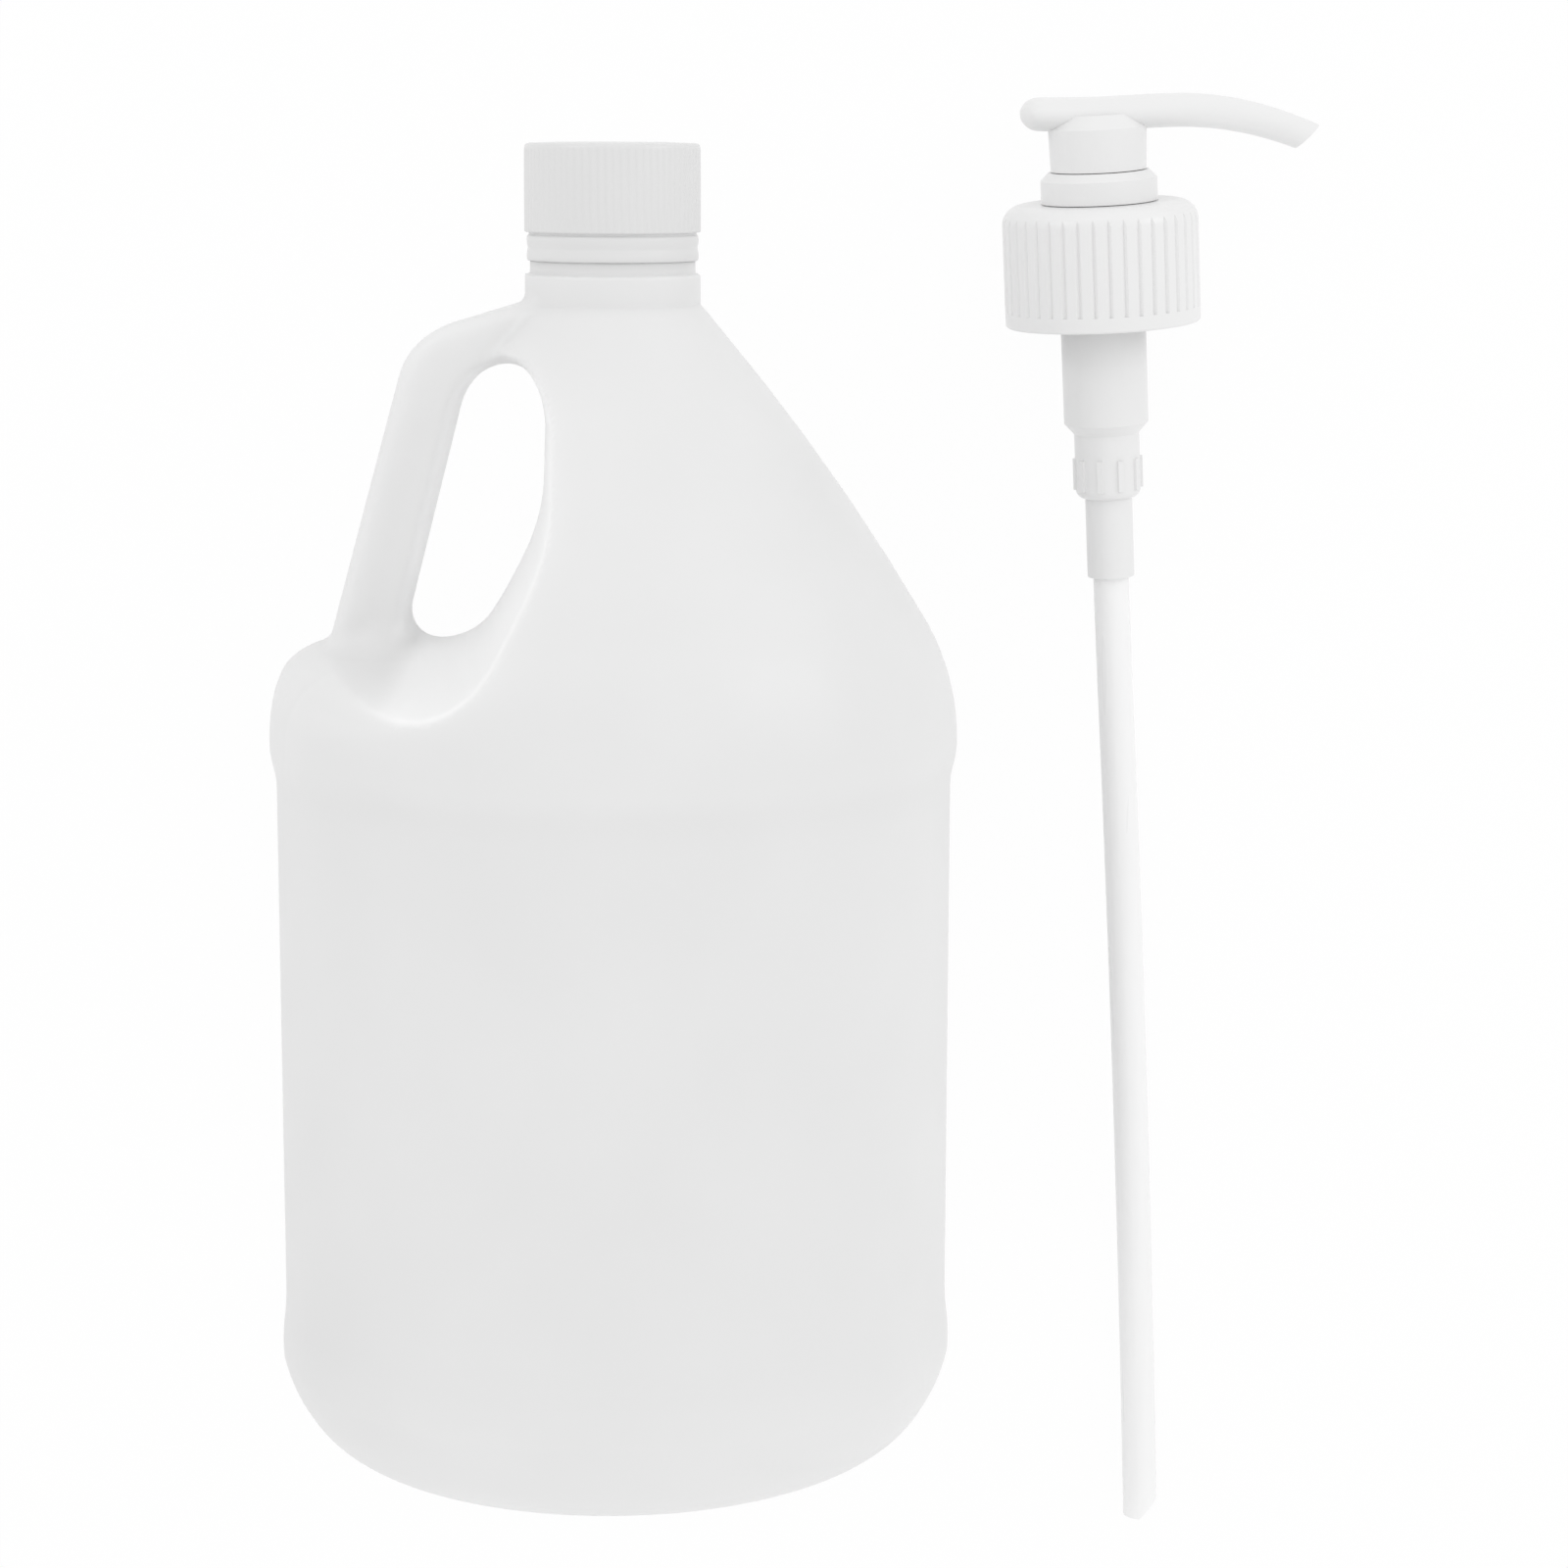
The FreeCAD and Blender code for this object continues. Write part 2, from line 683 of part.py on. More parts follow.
def blade_section(x):
    """Centre height, half height and half width of the head's blade at a distance from the axis."""
    half_height = (dim("head_top") - dim("head_under")).value / 2
    past_root = max(0.0, x - dim("spout_root").value)
    droop = past_root * past_root / (2 * dim("spout_bend").value)
    outward = x > 0
    reach = dim("pad_reach" if outward else "lobe_taper").value
    slim = dim("spout_half_width" if outward else "lobe_half_width").value
    swell = (1 + math.cos(math.pi * min(abs(x) / reach, 1.0))) / 2
    half_width = slim + (dim("pad_half_width").value - slim) * swell
    lobe, lobe_round = dim("lobe_reach").value, dim("lobe_round").value
    lift = dim("lobe_lift").value * min(max(-x / lobe, 0.0), 1.0)
    into_round = max(0.0, -x - lobe + lobe_round) / lobe_round
    closing = math.sqrt(max(1 - into_round ** 2, LOBE_END))
    return dim("head_under").value + half_height - droop + lift, half_height * closing, half_width * closing


def make_blade():
    """Thumb lobe, pad and down-curved spout, lofted through ellipses and cut off at the lip."""
    y_axis, z_axis, x_axis = FreeCAD.Vector(0, 1, 0), FreeCAD.Vector(0, 0, 1), FreeCAD.Vector(1, 0, 0)
    across = FreeCAD.Rotation(y_axis, z_axis, x_axis, "XYZ")
    lobe, lobe_round = dim("lobe_reach").value, dim("lobe_round").value
    rounding = [-lobe + lobe_round * share for share in (0, 0.08, 0.3, 0.62)]
    first = -lobe + 1.5 * lobe_round
    spread = [first + step * dim("blade_step").value for step in range(8)]
    sections = []
    for x in rounding + spread:
        centre, height, width = blade_section(x)
        ellipse = doc.addObject("Part::Ellipse", "blade_section")
        ellipse.MajorRadius = width
        ellipse.MinorRadius = height
        ellipse.Placement = FreeCAD.Placement(FreeCAD.Vector(x, 0, centre), across)
        sections.append(ellipse)
    loft = doc.addObject("Part::Loft", "blade_loft")
    loft.Sections = sections
    loft.Solid = True
    lip = FreeCAD.Vector(dim("spout_lip_reach").value, 0, dim("spout_lip").value)
    tip = FreeCAD.Vector(dim("spout_reach").value, 0, dim("spout_tip_top").value)
    slope = (tip - lip).normalize()
    turn = FreeCAD.Rotation(FreeCAD.Vector(0, 1, 0), math.degrees(math.atan2(slope.x, slope.z)))
    beyond = doc.addObject("Part::Box", "blade_beyond_lip")
    beyond.Length = beyond.Width = beyond.Height = LIP_BLOCK
    corner = lip - slope * LIP_BLOCK / 3 - FreeCAD.Vector(0, LIP_BLOCK / 2, 0)
    beyond.Placement = FreeCAD.Placement(corner, turn)
    blade = doc.addObject("Part::Cut", "head_blade")
    blade.Base = loft
    blade.Tool = beyond
    return blade


def make_pump_head():
    """Head: a skirt over the lock ring's post, and the blade of thumb lobe and spout on top."""
    blade = make_blade()
    skirt = new_body("head_skirt")
    radius, bore = dim("skirt_radius"), dim("skirt_bore")
    socket = dim("stem_radius") + dim("running_gap")
    profile = new_sketch(skirt, "skirt_profile", "XZ_Plane")
    outline = Outline(profile, bore, dim("skirt_bottom"))
    cap_height = dim("head_under") + dim("skirt_cap_height")
    outline.line(radius - dim("skirt_taper"), dim("skirt_bottom"))
    outline.line(radius, dim("head_under") + dim("skirt_rim"))
    outline.line(radius - dim("skirt_cap_inset"), cap_height)
    outline.line(0, cap_height)
    outline.line(0, dim("skirt_bore_top"))
    outline.line(bore, dim("skirt_bore_top"))
    outline.line(bore, dim("skirt_bottom"))
    revolve(skirt, "skirt_revolution", profile)
    body = doc.addObject("Part::Fuse", "head_solid")
    body.Base = blade
    body.Tool = skirt

    stem_socket = doc.addObject("Part::Cylinder", "head_socket")
    bind(stem_socket, "Radius", socket)
    bind(stem_socket, "Height", dim("stem_top") + CLEARANCE)
    nozzle = doc.addObject("Part::Cylinder", "head_nozzle")
    bind(nozzle, "Radius", dim("nozzle_radius"))
    bind(nozzle, "Height", dim("nozzle_depth") * 1.5)
    lip_middle_x = (dim("spout_reach") + dim("spout_lip_reach")) / 2
    lip_middle_z = (dim("spout_tip_top") + dim("spout_lip")) / 2
    climb = math.radians(dim("nozzle_climb").value)
    inward = FreeCAD.Vector(-math.cos(climb), 0, math.sin(climb))
    start = FreeCAD.Vector(lip_middle_x.value, 0, lip_middle_z.value)
    start = start - inward * (dim("nozzle_depth").value / 2)
    nozzle.Placement = FreeCAD.Placement(start, FreeCAD.Rotation(FreeCAD.Vector(0, 0, 1), inward))
    holes = doc.addObject("Part::Fuse", "head_holes")
    holes.Base = stem_socket
    holes.Tool = nozzle
    head = doc.addObject("Part::Cut", "pump_head")
    head.Label = "pump_head"
    head.Base = body
    head.Tool = holes
    return head


def make_dip_tube():
    """Dip tube: straight in its socket, then a little bowed, its tip cut with a bevel."""
    tube = new_body("dip_tube")
    mouth = -dim("socket_bottom")
    top = mouth + dim("socket_depth") - dim("tube_end_gap")
    low = -dim("tube_tip")
    for kind, name, radius in (("AdditivePipe", "tube_wall", dim("tube_radius")),
                               ("SubtractivePipe", "tube_hollow", dim("tube_bore"))):
        spine = new_sketch(tube, f"{name}_line", "XZ_Plane")
        course = Outline(spine, 0, top)
        course.line(0, mouth)
        course.smooth(dim("tube_swing"), mouth - dim("tube_lead"))
        course.smooth(0, low)
        ring = new_sketch(tube, f"{name}_section", "XY_Plane")
        ring.setExpression(".AttachmentOffset.Base.z", top.formula)
        ring.addGeometry(Part.Circle(FreeCAD.Vector(), FreeCAD.Vector(0, 0, 1), radius.value), False)
        ring.addConstraint(Sketcher.Constraint("Coincident", 0, 3, -1, 1))
        row = ring.addConstraint(Sketcher.Constraint("Radius", 0, radius.value))
        ring.setExpression(f"Constraints[{row}]", radius.formula)
        pipe = tube.newObject(f"PartDesign::{kind}", name)
        pipe.Profile = ring
        pipe.Spine = spine
        spine.Visibility = False
        ring.Visibility = False
    bevel = new_sketch(tube, "tip_bevel", "XZ_Plane")
    wall = dim("tube_radius")
    inner, below = wall - dim("tube_bevel_width"), low - CLEARANCE
    outline = Outline(bevel, inner, below)
    outline.line(wall + CLEARANCE, below)
    outline.line(wall + CLEARANCE, low + dim("tube_bevel_rise"))
    outline.line(inner, below)
    cut = pocket(tube, "tip_cut", bevel, wall * 3)
    cut.Midplane = True
    return tube


# --- The set -----------------------------------------------------------------------------------

def lay_down(items, place):
    for item in items:
        item.Placement = place


def check(items):
    """Stop before anything is written if an object failed or a sub-part's shape is unsound."""
    for item in doc.Objects:
        if "Invalid" in item.State or "Error" in item.State:
            raise RuntimeError(f"{item.Name} failed to build: {item.State}")
    for item in items:
        if item.Shape.isNull() or not item.Shape.isValid() or len(item.Shape.Solids) != 1:
            raise RuntimeError(f"{item.Label} is not one sound solid")


jug_parts = [make_jug(), make_jug_cap()]
pump_parts = [make_pump_collar(), make_pump_ring(), make_pump_housing(), make_pump_gasket(),
              make_pump_stem(), make_pump_head(), make_dip_tube()]
parts = jug_parts + pump_parts
doc.recompute()

# Laid down, the pump touches the surface with its collar's rim and the tip of its tube, which
# sets its tilt; its lean is the turn across the surface.
lying = FreeCAD.Rotation(FreeCAD.Vector(1, 0, 0), -90)
drop = (dim("collar_radius") - dim("tube_radius")) / dim("tube_tip")
tilt = math.atan(drop.value)
tilted = FreeCAD.Rotation(FreeCAD.Vector(1, 0, 0), math.degrees(tilt))
leant = FreeCAD.Rotation(FreeCAD.Vector(0, 0, 1), dim("pump_lean").value)
rim_height = dim("collar_radius").value * math.cos(tilt)
pump_spot = FreeCAD.Vector(dim("pump_offset").value, dim("pump_rise").value, rim_height)
lay_down(jug_parts, FreeCAD.Placement(FreeCAD.Vector(0, 0, dim("rest_height").value), lying))
lay_down(pump_parts, FreeCAD.Placement(pump_spot, leant * tilted * lying))
doc.recompute()

# The origin goes to the middle of the footprint.
footprint = FreeCAD.BoundBox()
for item in parts:
    footprint.add(item.Shape.optimalBoundingBox(False))
centre = FreeCAD.Vector(footprint.Center.x, footprint.Center.y, footprint.ZMin)
for item in parts:
    item.Placement.Base = item.Placement.Base - centre
doc.recompute()
check(parts)

os.makedirs("parts", exist_ok=True)
print("footprint", footprint, "centre", centre)
for item in parts:
    item.Shape.exportStep(f"parts/{item.Label}.step")
    print(item.Label, round(item.Shape.Volume), "cubic mm")
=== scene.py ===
import math

import bpy
import numpy as np
from mathutils import Matrix, Vector


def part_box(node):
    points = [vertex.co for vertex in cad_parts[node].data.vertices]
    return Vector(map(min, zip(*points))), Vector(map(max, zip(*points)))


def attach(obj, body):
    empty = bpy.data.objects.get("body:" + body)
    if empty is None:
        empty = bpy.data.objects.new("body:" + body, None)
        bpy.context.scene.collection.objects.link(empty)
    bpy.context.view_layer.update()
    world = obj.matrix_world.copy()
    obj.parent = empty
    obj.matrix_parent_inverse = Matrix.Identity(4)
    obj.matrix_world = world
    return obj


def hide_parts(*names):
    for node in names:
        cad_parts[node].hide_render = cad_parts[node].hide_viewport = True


# A one-gallon handled jug with its cap on and the lotion pump that comes with it, lying on a
# white surface under soft light, seen from above. The pump is the CAD nodes with materials on.
# The jug and its cap are replaced by finer meshes of the same shape: the jug's has the soft
# creases of blown plastic, the cap's the soft ribs and the bead of a moulded one.
#
# The jug's own frame, in millimetres: x across (the handle on the left), y through the jug,
# h up from its standing ring.

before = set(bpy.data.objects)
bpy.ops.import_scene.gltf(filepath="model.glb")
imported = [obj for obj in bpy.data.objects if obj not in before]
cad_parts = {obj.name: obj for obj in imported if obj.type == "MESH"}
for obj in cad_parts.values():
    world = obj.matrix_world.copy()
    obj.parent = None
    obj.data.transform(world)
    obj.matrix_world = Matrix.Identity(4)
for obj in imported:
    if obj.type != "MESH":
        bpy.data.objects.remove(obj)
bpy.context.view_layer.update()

MM = 0.001
WHITE = (1.0, 1.0, 1.0, 1.0)

# ---------------------------------------------------------------- places, from the frame
jug_low, jug_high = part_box("jug")
cap_low, cap_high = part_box("jug_cap")
AXIS_X = (cap_low.x + cap_high.x) / 2
AXIS_Z = (cap_low.z + cap_high.z) / 2
BASE_Y = jug_low.y

# ---------------------------------------------------------------- sizes of the body, in mm
# Radii and heights, or both together.
RIDGE = (jug_high.x - AXIS_X) / MM
NECK_TOP = (jug_high.y - BASE_Y) / MM
PANEL = RIDGE - 1.45
HEEL = RIDGE - 0.6
HEEL_ROUND = 25.0
HEEL_RISE = 22.0
HEEL_BAND = 2.0
BASE_HOLLOW = 5.0
PANEL_BOTTOM = 36.0
PANEL_TOP = 154.5
RIDGE_BOTTOM = 163.0
RIDGE_EASE = 1.0
SHOULDER_START = 165.0
SHOULDER = (70.8, 192.0)
CONE_TOP = (23.0, 259.0)
NECK_FLARE = math.radians(125)
NECK_COLLAR = (19.65, 262.9, 269.8)
NECK_GROOVE = (18.5, 273.2)
FINISH = 17.3
# The standing ring's slope and flat, outwards from where the heel's round would end.
RING_SLOPE = -6.0
RING_FLAT = (-1.0, 2.5)
# Where the heel's lower arc meets its upper one, as shares of its width and its rise.
HEEL_MIDDLE = (0.74, 0.36)

# ---------------------------------------------------------------- sizes of the handle and its bay
# Corners in the side view, as x and h.
ARM_TOP = ((-10.0, 266.6), (-36.5, 258.5))
HANDLE_BEND = (-47.2, 247.9)
GRIP_FOOT = ((-65.1, 183.0), (-49.6, 183.0))
GRIP_INNER_TOP = (-35.0, 239.6)
ARM_UNDERSIDE = ((-22.5, 250.6), (-10.0, 251.0))
HANDLE_HALF = 11.5
HANDLE_ROUND = 3.2

BAY_FLOOR = ((-61.0, 187.7), (-39.3, 187.7))
BAY_SIDE = (
    (-27.4, 194.2), (-19.7, 208.1), (-15.7, 225.0), (-15.4, 235.0), (-18.0, 246.3), (-24.5, 250.8),
)
BAY_OUTSIDE = ((-101.0, 250.8), (-101.0, 169.1), (-79.6, 169.1))
LOBE_HEADING = math.radians(90)
# The walls lean out and the floor falls with the distance from the parting plane.
BAY_WALL_SLOPE = 0.085
BAY_FLOOR_SLOPE = 0.075
BAY_FLOOR_FROM = 21.0
BAY_FLOOR_OVER = 22.0
# The crease between bay and body, sharp at the hole and soft out on the lobe.
BAY_CREASE = 1.2
BAY_SOFT_CREASE = 9.0
BAY_SOFT_FROM = 38.0
BAY_SOFT_OVER = 26.0
BAY_SOFT_DEPTH = 14.0
BAY_SOFT_POWER = 1.5

# The fillet where the handle meets the body, wider at the grip's foot.
ARM_BLEND = 2.0
FOOT_BLEND = 7.0
FOOT_BLEND_TOP = 225.0
FOOT_BLEND_FALL = 25.0
FOOT_BLEND_LEFT = 66.0
FOOT_BLEND_FADE = 12.0

# Where light is painted into the jug's colour, a painted glow as of light through a thin wall and a
# painted highlight on the crease: over the bay's walls and along the handle's side to the hole.
PAINTED_LIGHT_REACH = 2.0
PAINTED_LIGHT_RIM = 1.0
PAINTED_LIGHT_LEFT = 56.0
PAINTED_LIGHT_FADE = 14.0
PAINTED_LIGHT_OFF_HANDLE = 5.0
PAINTED_LIGHT_IN_BAY = 3.0
PAINTED_LIGHT_TURN = 2.0
HOLE_CENTRE = (-30.0, 220.0)

# ---------------------------------------------------------------- grids, in mm
PROFILE_MARGIN = 3.0
SIDE_LOW = (-86.0, 150.0)
SIDE_HIGH = (0.0, 272.0)
NET_EDGE = RIDGE + 2.0
# Grid marks: the start of a stretch and its spacing, up to a bare end.
NET_X = ((-NET_EDGE, 1.5), (-52.0, 1.2), (-10.0, 1.5), (NET_EDGE,))
NET_Y = ((-NET_EDGE, 1.5), (NET_EDGE,))
NET_H = ((-1.5, 1.5), (28.5, 5.0), (155.0, 0.8), (167.0, 1.3), (261.0, 0.45), (NECK_TOP + 2.0,))
# Moving the net's points on to the surface.
SLOPE_REACH = 0.05
LEAST_SLOPE = 0.25
LONGEST_STEP = 1.5
FIRST_STEPS = 3
RELAX_ROUNDS = 3
ROUND_STEPS = 2

# ---------------------------------------------------------------- camera
CAMERA_AIM_HEIGHT = 0.154
CAMERA_DISTANCE = 0.870
CAMERA_TILT = math.radians(9.8)
CAMERA_ROLL = math.radians(0.22)
CAMERA_SIDE = 0.03876
CAMERA_LENS = 87.19
CAMERA_SENSOR = 36.0
CAMERA_NEAR = 0.05
CAMERA_FAR = 20.0


def make_camera():
    data = bpy.data.cameras.new("camera")
    data.lens = CAMERA_LENS
    data.sensor_width = CAMERA_SENSOR
    data.clip_start = CAMERA_NEAR
    data.clip_end = CAMERA_FAR
    camera = bpy.data.objects.new("camera", data)
    bpy.context.scene.collection.objects.link(camera)
    back = Vector((0, math.sin(CAMERA_TILT), math.cos(CAMERA_TILT)))
    up = Vector((0, math.cos(CAMERA_TILT), -math.sin(CAMERA_TILT)))
    right = up.cross(back)
    aim = Vector((AXIS_X + CAMERA_SIDE, BASE_Y + CAMERA_AIM_HEIGHT, AXIS_Z))
    place = Matrix.Translation(aim + back * CAMERA_DISTANCE)
    turn = Matrix((right, up, back)).transposed().to_4x4()
    camera.matrix_world = place @ turn @ Matrix.Rotation(CAMERA_ROLL, 4, "Z")
    bpy.context.scene.camera = camera


# ---------------------------------------------------------------- distance fields
class Outline:
    """A closed outline of straight runs and arcs that flow on from the edge before them."""

    ARC_STEP = math.radians(2.0)

    def __init__(self, x, y):
        self.points = [np.array((x, y), float)]
        self.heading = 0.0

    def line(self, x, y):
        there = np.array((x, y), float)
        run = there - self.points[-1]
        self.heading = math.atan2(run[1], run[0])
        self.points.append(there)
        return self

    def smooth(self, x, y, heading=None):
        """An arc to a point, in the current heading at first, or in the one given."""
        if heading is not None:
            self.heading = heading
        here = self.points[-1]
        chord = np.array((x, y), float) - here
        half_turn = math.remainder(math.atan2(chord[1], chord[0]) - self.heading, math.tau)
        steps = max(1, math.ceil(abs(2 * half_turn) / self.ARC_STEP))
        for n in range(1, steps + 1):
            part = half_turn * n / steps
            reach = np.hypot(*chord) * math.sin(part) / math.sin(half_turn)
            angle = self.heading + part
            self.points.append(here + reach * np.array((math.cos(angle), math.sin(angle))))
        self.heading += 2 * half_turn
        return self


class DistanceTable:
    """Signed distance to a closed outline, inside negative, looked up between grid points."""

    STEP = 0.25
    # The square of an edge's length that is still divided by.
    LEAST_RUN = 1e-12
    # How far from the table's end, in steps, a look-up is held.
    END = 1.001

    def __init__(self, outline, low, high):
        corners = np.array(outline.points)
        self.low = low
        columns, rows = (np.arange(start, end, self.STEP) for start, end in zip(low, high))
        x, y = np.meshgrid(columns, rows, indexing="ij")
        nearest = np.full(x.shape, np.inf)
        inside = np.zeros(x.shape, bool)
        for (ax, ay), (bx, by) in zip(corners, np.roll(corners, -1, axis=0)):
            run_x, run_y = bx - ax, by - ay
            along = (x - ax) * run_x + (y - ay) * run_y
            along = along / max(run_x ** 2 + run_y ** 2, self.LEAST_RUN)
            along = np.clip(along, 0, 1)
            nearest = np.minimum(nearest, np.hypot(x - ax - along * run_x, y - ay - along * run_y))
            if run_y:
                inside ^= ((ay > y) != (by > y)) & (x < ax + (y - ay) * run_x / run_y)
        self.values = np.where(inside, -nearest, nearest)

    def at(self, x, y):
        table = self.values
        u = np.clip((x - self.low[0]) / self.STEP, 0, table.shape[0] - self.END)
        v = np.clip((y - self.low[1]) / self.STEP, 0, table.shape[1] - self.END)
        i, j = u.astype(int), v.astype(int)
        u, v = u - i, v - j
        near = table[i, j] * (1 - v) + table[i, j + 1] * v
        far = table[i + 1, j] * (1 - v) + table[i + 1, j + 1] * v
        return near * (1 - u) + far * u


def join_round(a, b, radius):
    """Both fields together, with a fillet where they meet."""
    corner = np.hypot(np.maximum(radius - a, 0), np.maximum(radius - b, 0))
    return np.maximum(radius, np.minimum(a, b)) - corner


def cut_round(a, b, radius):
    """Field a without field b, the crease between them rounded."""
    corner = np.hypot(np.maximum(radius + a, 0), np.maximum(radius - b, 0))
    return np.minimum(-radius, np.maximum(a, -b)) + corner


# ---------------------------------------------------------------- the jug's shape
def profile_table():
    """Half section of the body: hollow base, heel, panel, ridge, shoulder and neck."""
    standing = HEEL - HEEL_ROUND
    heel_top = HEEL_RISE + HEEL_BAND
    outline = Outline(0, BASE_HOLLOW).line(standing + RING_SLOPE, BASE_HOLLOW)
    for edge in RING_FLAT:
        outline.line(standing + edge, 0)
    outline.smooth(standing + HEEL_MIDDLE[0] * HEEL_ROUND, HEEL_MIDDLE[1] * HEEL_RISE)
    outline.smooth(HEEL, HEEL_RISE).line(HEEL, heel_top)
    outline.smooth((HEEL + PANEL) / 2, (heel_top + PANEL_BOTTOM) / 2).smooth(PANEL, PANEL_BOTTOM)
    outline.line(PANEL, PANEL_TOP)
    outline.smooth((PANEL + RIDGE) / 2, (PANEL_TOP + RIDGE_BOTTOM) / 2 + RIDGE_EASE)
    outline.smooth(RIDGE, RIDGE_BOTTOM + RIDGE_EASE).line(RIDGE, SHOULDER_START)
    outline.smooth(*SHOULDER).smooth(*CONE_TOP)
    collar, collar_bottom, collar_top = NECK_COLLAR
    groove, groove_top = NECK_GROOVE
    outline.smooth(collar, collar_bottom, NECK_FLARE).line(collar, collar_top)
    outline.line(groove, collar_top).line(groove, groove_top)
    outline.line(FINISH, groove_top).line(FINISH, NECK_TOP).line(0, NECK_TOP)
    high = (RIDGE + 2 * PROFILE_MARGIN, NECK_TOP + PROFILE_MARGIN)
    return DistanceTable(outline, (0, -PROFILE_MARGIN), high)


def bay_table():
    """The bay beside the handle, on the parting plane."""
    lobe_foot, floor_end = BAY_FLOOR
    outline = Outline(*lobe_foot).line(*floor_end)
    for point in BAY_SIDE:
        outline.smooth(*point)
    for point in BAY_OUTSIDE:
        outline.line(*point)
    outline.smooth(*lobe_foot, LOBE_HEADING)
    return DistanceTable(outline, SIDE_LOW, SIDE_HIGH)


def handle_table():
    """The handle's side view: an arm out of the neck, a bend, and the grip down to the shoulder."""
    outline = Outline(*ARM_TOP[0]).line(*ARM_TOP[1]).smooth(*HANDLE_BEND)
    outline.line(*GRIP_FOOT[0]).line(*GRIP_FOOT[1]).line(*GRIP_INNER_TOP)
    outline.smooth(*ARM_UNDERSIDE[0]).line(*ARM_UNDERSIDE[1])
    return DistanceTable(outline, SIDE_LOW, SIDE_HIGH)


def unit(value):
    """The value, held between 0 and 1."""
    return np.clip(value, 0, 1)


class JugShape:
    """The jug as fields of x, y and h: its signed distance, and where light is painted into its
    colour (a painted glow as through a thin wall).
    """

    def __init__(self):
        self.profile = profile_table()
        self.bay = bay_table()
        self.handle = handle_table()

    def scoop(self, x, depth, h):
        """Signed distance to the bay, at a depth from the parting plane."""
        fall = BAY_FLOOR_SLOPE * unit((-x - BAY_FLOOR_FROM) / BAY_FLOOR_OVER)
        return self.bay.at(x, h + depth * fall) - depth * BAY_WALL_SLOPE

    def grip(self, x, depth, h):
        """The handle: its side view given its width, with rounded edges."""
        across = self.handle.at(x, h) + HANDLE_ROUND
        through = depth - HANDLE_HALF + HANDLE_ROUND
        outside = np.hypot(np.maximum(across, 0), np.maximum(through, 0)) - HANDLE_ROUND
        return outside + np.minimum(np.maximum(across, through), 0)

    def distance(self, x, y, h):
        depth = np.abs(y)
        softness = unit((-x - BAY_SOFT_FROM) / BAY_SOFT_OVER) ** BAY_SOFT_POWER
        softness = softness * unit(depth / BAY_SOFT_DEPTH - 1)
        crease = BAY_CREASE + BAY_SOFT_CREASE * softness
        body = cut_round(self.profile.at(np.hypot(x, y), h), self.scoop(x, depth, h), crease)
        foot = unit((FOOT_BLEND_TOP - h) / FOOT_BLEND_FALL)
        foot = foot * unit((x + FOOT_BLEND_LEFT) / FOOT_BLEND_FADE)
        return join_round(body, self.grip(x, depth, h), ARM_BLEND + FOOT_BLEND * foot)

    def painted_light_bay(self, x, y, h):
        """Painted light: 1 on the bay's walls and a rim just outside them (a painted highlight
        along the crease), less towards the lobe and beside the handle, else 0.
        """
        scoop = self.scoop(x, np.abs(y), h)
        wall = unit(1 - np.maximum(-scoop / PAINTED_LIGHT_REACH, scoop / PAINTED_LIGHT_RIM))
        off_lobe = unit((x + PAINTED_LIGHT_LEFT) / PAINTED_LIGHT_FADE)
        return wall * off_lobe * unit(self.handle.at(x, h) / PAINTED_LIGHT_OFF_HANDLE)

    def painted_light_handle(self, x, h):
        """Painted light: 1 along the handle's side to the hole, a painted glow as of light through
        a thin wall, else 0.
        """
        away_x, away_h = HOLE_CENTRE[0] - x, HOLE_CENTRE[1] - h
        reach = np.hypot(away_x, away_h)
        here = self.handle.at(x, h)
        nearer = self.handle.at(x + away_x / reach, h + away_h / reach)
        edge = unit(1 + here / PAINTED_LIGHT_REACH) * unit((nearer - here) * PAINTED_LIGHT_TURN)
        return edge * unit(-self.bay.at(x, h) / PAINTED_LIGHT_IN_BAY)

    def painted_light_mask(self, x, y, h):
        """How much painted light the colour gets, from 0 to 1: a painted glow as through a thin
        wall, and a painted highlight on the crease.
        """
        return np.maximum(self.painted_light_bay(x, y, h), self.painted_light_handle(x, h))


def ladder(*marks):
    """Grid coordinates from marks of (start, spacing from there on), up to a last bare end."""
    rungs = []
    for (start, spacing), (end, *_) in zip(marks, marks[1:]):
        count = max(1, round((end - start) / spacing))
        rungs.append(np.linspace(start, end, count, endpoint=False))
    return np.concatenate(rungs + [marks[-1]])


def surface_net(field, axes):
    """Points and quads round the zero level of a field on a grid with the given coordinates."""
    slices = np.meshgrid(*axes[1:], indexing="ij")
    inside = np.stack([field(x, *slices) < 0 for x in axes[0]])
    wide, deep, tall = (size - 1 for size in inside.shape)
    corners = np.zeros((wide, deep, tall), int)
    for i, j, k in np.ndindex(2, 2, 2):
        corners += inside[i:i + wide, j:j + deep, k:k + tall]
    mixed = (corners > 0) & (corners < 8)
    cells = np.argwhere(mixed)
    middles = [(axis[1:] + axis[:-1]) / 2 for axis in axes]
    points = np.stack([middles[n][cells[:, n]] for n in range(3)], axis=1)
    number = np.full(mixed.shape, -1)
    number[mixed] = np.arange(len(cells))
    return points, net_quads(inside, number)


def net_quads(inside, number):
    """A quad round each grid edge that crosses the surface, from the numbers of its four cells."""
    quads = []
    for n in range(3):
        side, cell = np.moveaxis(inside, n, 0), np.moveaxis(number, n, 0)
        first, last = side[:-1, 1:-1, 1:-1], side[1:, 1:-1, 1:-1]
        around = (cell[:, :-1, :-1], cell[:, 1:, :-1], cell[:, 1:, 1:], cell[:, :-1, 1:])
        for leaving in (True, False):
            crossed = (first == leaving) & (last != leaving)
            ring = [corner[crossed] for corner in around]
            quads.append(np.stack(ring if leaving == (n != 1) else ring[::-1], axis=1))
    return np.concatenate(quads)


